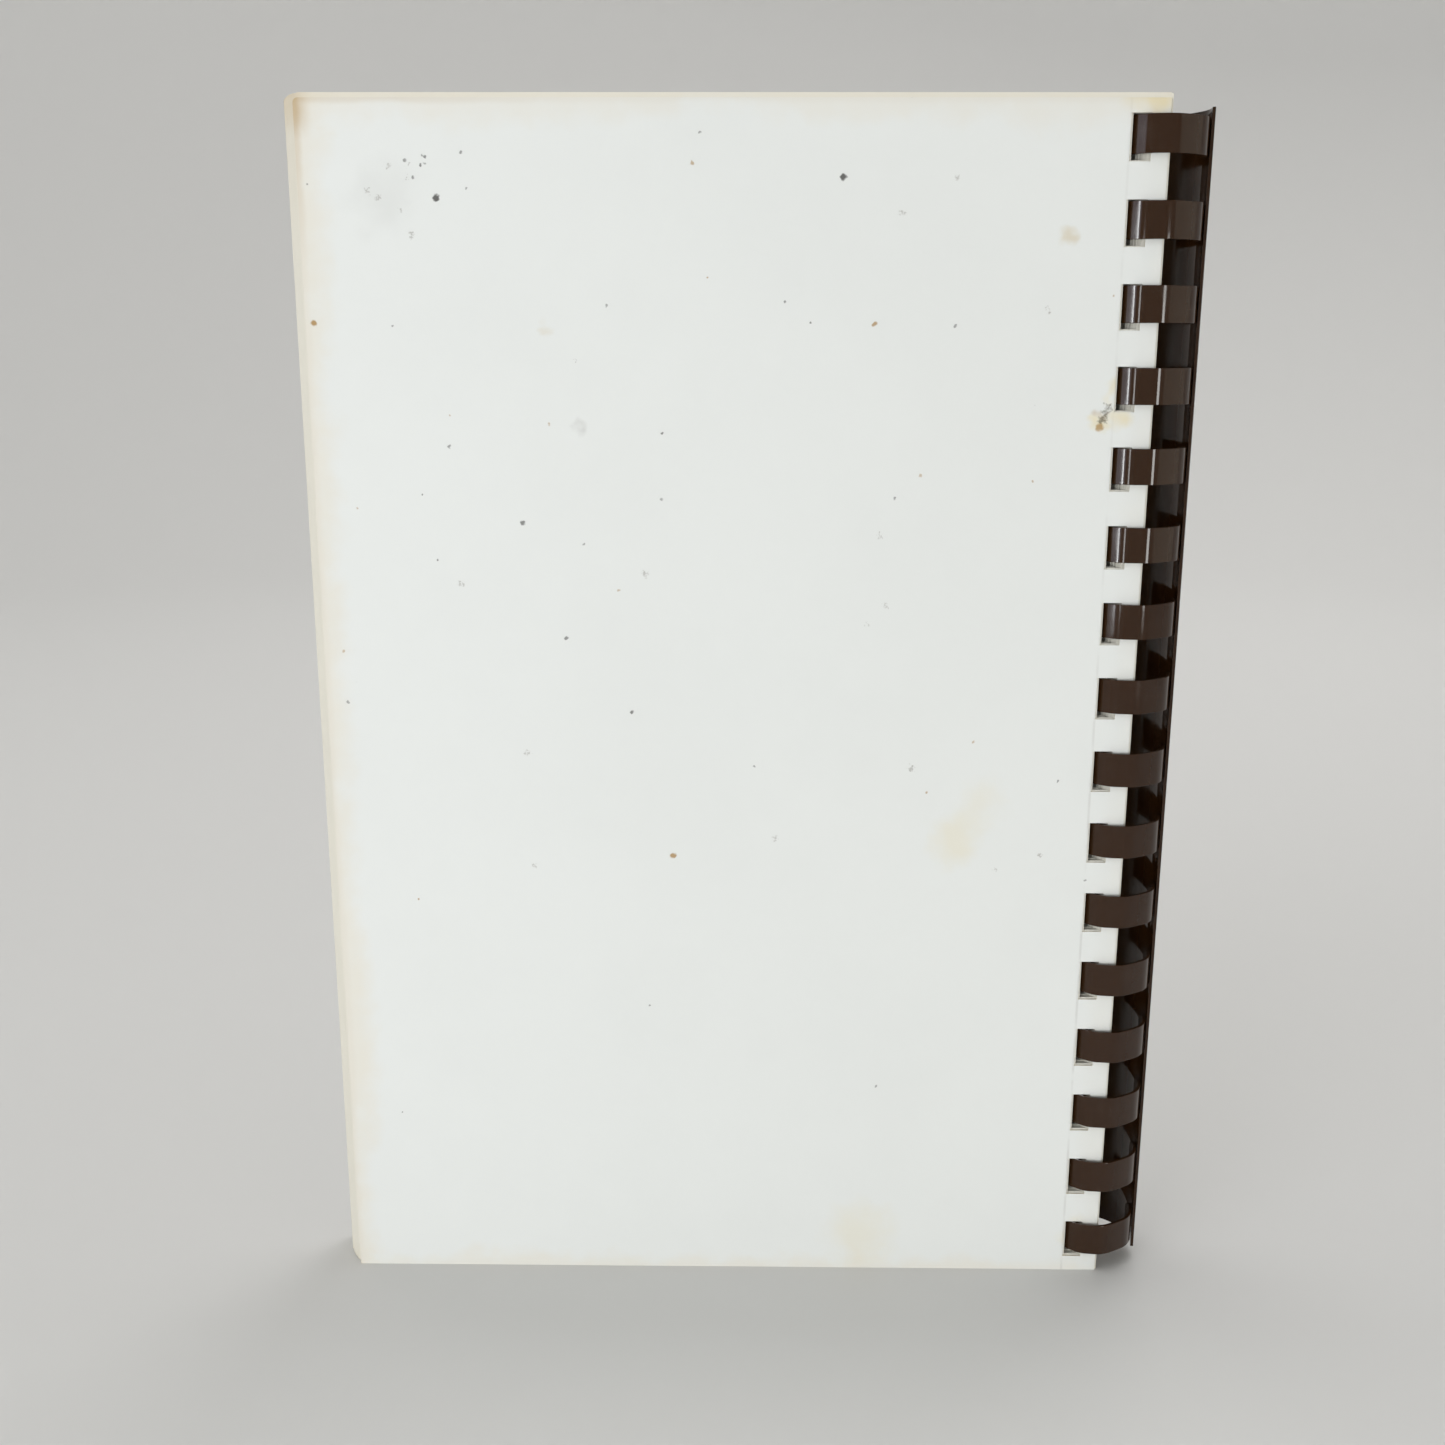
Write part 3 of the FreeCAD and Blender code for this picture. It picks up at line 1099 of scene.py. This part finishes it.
STUDIO_LAMPS = (
    Lamp("high_window", (-0.75, -0.85, 0.95), (0.8, 0.6), 1.75, (0.93, 0.97, 1.0)),
    Lamp("ceiling", (0.0, -0.1, 1.6), (1.4, 1.4), 1.25, (1.0, 0.99, 0.97)),
    Lamp("left_strip", (-0.35, -0.68, 0.13), (0.15, 0.24), 11.4, (0.96, 0.98, 1.0), book_only=True),
    Lamp("far_left_strip", (-0.62, -0.36, 0.145), (0.036, 0.27), 25.0, (0.95, 0.98, 1.0), book_only=True),
    Lamp("left_wall", (-0.67, -0.33, 0.20), (0.36, 0.40), 1.4, (0.80, 0.84, 1.0), book_only=True),
    Lamp("right_strip", (0.43, -0.715, 0.13), (0.15, 0.24), 11.4, (1.0, 1.0, 0.98), book_only=True),
    Lamp("right_wall", (0.95, -0.30, 0.25), (0.60, 0.50), 0.4, (1.0, 0.92, 0.74), book_only=True),
    Lamp("backdrop", (0.0, 0.3, 1.9), (1.2, 0.5), 5.0, (1.0, 1.0, 1.0), (0.0, 1.6, 0.5)),
    Lamp("rear", (0.5, 1.0, 1.1), (0.8, 0.6), 2.4, (1.0, 1.0, 0.99)),
)


@dataclass
class Studio:
    """The camera, the pale floor and the soft lights round the book."""

    stand_off: float = 0.2955
    eye_height: float = 0.1872
    pitch: float = 13.815
    roll: float = 0.13
    yaw: float = 0.69
    lens: float = 38.82
    sensor: float = 36.0
    aside: float = 0.0005
    floor_radius: float = 1.7
    cove: float = 0.7
    wall_height: float = 2.4

    def place_camera(self) -> None:
        """Puts the camera in front of the back cover, a little above its middle, looking slightly down."""
        data = bpy.data.cameras.new("camera")
        data.lens = self.lens
        data.sensor_width = self.sensor
        data.clip_start = 0.01
        camera = bpy.data.objects.new("camera", data)
        turn = Matrix.Rotation(math.radians(self.yaw), 4, "Z")
        tilt = Matrix.Rotation(math.radians(90.0 - self.pitch), 4, "X")
        spin = Matrix.Rotation(math.radians(self.roll), 4, "Z")
        place = Matrix.Translation((-self.aside, -self.stand_off, self.eye_height))
        camera.matrix_world = place @ turn @ tilt @ spin
        bpy.context.scene.collection.objects.link(camera)
        bpy.context.scene.camera = camera

    def build_floor(self) -> None:
        """Builds the round floor, which sweeps up into a wall all round, well away from the book."""
        form = bmesh.new()
        flat = self.floor_radius - self.cove
        edge = [form.verts.new((0.0, 0.0, 0.0)), form.verts.new((flat, 0.0, 0.0))]
        form.edges.new(edge)
        bend = bmesh.ops.spin(
            form,
            geom=[edge[1]],
            cent=(flat, 0.0, self.cove),
            axis=(0, -1, 0),
            angle=math.radians(90),
            steps=16,
        )
        top = [item for item in bend["geom_last"] if isinstance(item, bmesh.types.BMVert)][0]
        form.edges.new((top, form.verts.new((self.floor_radius, 0.0, self.wall_height))))
        profile = form.verts[:] + form.edges[:]
        bmesh.ops.spin(form, geom=profile, axis=(0, 0, 1), angle=math.tau, steps=96, use_merge=True)
        bmesh.ops.remove_doubles(form, verts=form.verts[:], dist=1e-6)
        bmesh.ops.recalc_face_normals(form, faces=form.faces[:])
        floor = finished_object("studio_floor", form, StudioPaint().material(), 60.0)
        floor.data.flip_normals()
        floor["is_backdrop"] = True

    def add_lamp(self, lamp: Lamp, book: bpy.types.Collection) -> None:
        """Adds one soft rectangular light, unseen by the camera itself.

        Args:
            lamp: the light.
            book: the pieces of the book, all that a light flagged off the floor shines on.
        """
        data = bpy.data.lights.new(lamp.name, "AREA")
        data.shape = "RECTANGLE"
        data.size, data.size_y = lamp.size
        data.energy = lamp.glow * math.pi * lamp.size[0] * lamp.size[1]
        data.color = lamp.tint
        made = bpy.data.objects.new(lamp.name, data)
        place = Vector(lamp.place)
        aim = Vector(lamp.aim) - place
        made.matrix_world = Matrix.Translation(place) @ aim.to_track_quat("-Z", "Y").to_matrix().to_4x4()
        made.visible_camera = False
        if lamp.book_only:
            made.light_linking.receiver_collection = book
        bpy.context.scene.collection.objects.link(made)

    def light(self, pieces: list[bpy.types.Object]) -> None:
        """Sets up the lights and the even glow of the room.

        Args:
            pieces: every piece of the book.
        """
        book = bpy.data.collections.new("book_pieces")
        for piece in pieces:
            book.objects.link(piece)
        for lamp in STUDIO_LAMPS:
            self.add_lamp(lamp, book)
        world = bpy.data.worlds.new("room")
        world.use_nodes = True
        glow = world.node_tree.nodes["Background"]
        glow.inputs["Color"].default_value = (0.95, 0.97, 1.0, 1.0)
        glow.inputs["Strength"].default_value = 0.15
        bpy.context.scene.world = world
        bpy.context.scene.view_settings.view_transform = "Standard"


def body_with(node: str) -> str:
    """The name of the CAD body that holds a node."""
    bodies = frame["record"]["behaviour"]["bodies"]
    return next(body for body, nodes in bodies.items() if node in nodes)


def comb_axis() -> Vector:
    """The comb's axis, which every section of leaves turns about."""
    joint = next(j for j in frame["joints"] if j["name"] == "rear_leaves_inner_turn")
    return Vector((joint["pos_m"][0], joint["pos_m"][1], 0.0))


def main() -> None:
    """Builds the book and the studio round it."""
    logging.basicConfig(level=logging.INFO, format="%(name)s: %(message)s")
    cad_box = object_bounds()
    studio = Studio()
    studio.place_camera()
    row = FingerRow()
    comb = Comb(row, comb_axis()).build(CombPlastic().material())
    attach(comb, body_with("comb"))
    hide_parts("comb")
    LOG.info("%s has %d faces", comb.name, len(comb.data.polygons))
    block = Block(fore_edge=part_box("front_cover")[0].x, spine=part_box("back_cover")[1].x, head=cad_box[1].z)
    cards = [Cover(side, row, block).build() for side in CoverSide]
    for card in cards:
        LOG.info("%s has %d faces", card.name, len(card.data.polygons))
    leaves = Leaves(row, block).build()
    LOG.info("%d leaves, %d faces each", len(leaves), len(leaves[0].data.polygons))
    studio.build_floor()
    studio.light([comb, *cards, *leaves])


if __name__ == "__main__":
    main()
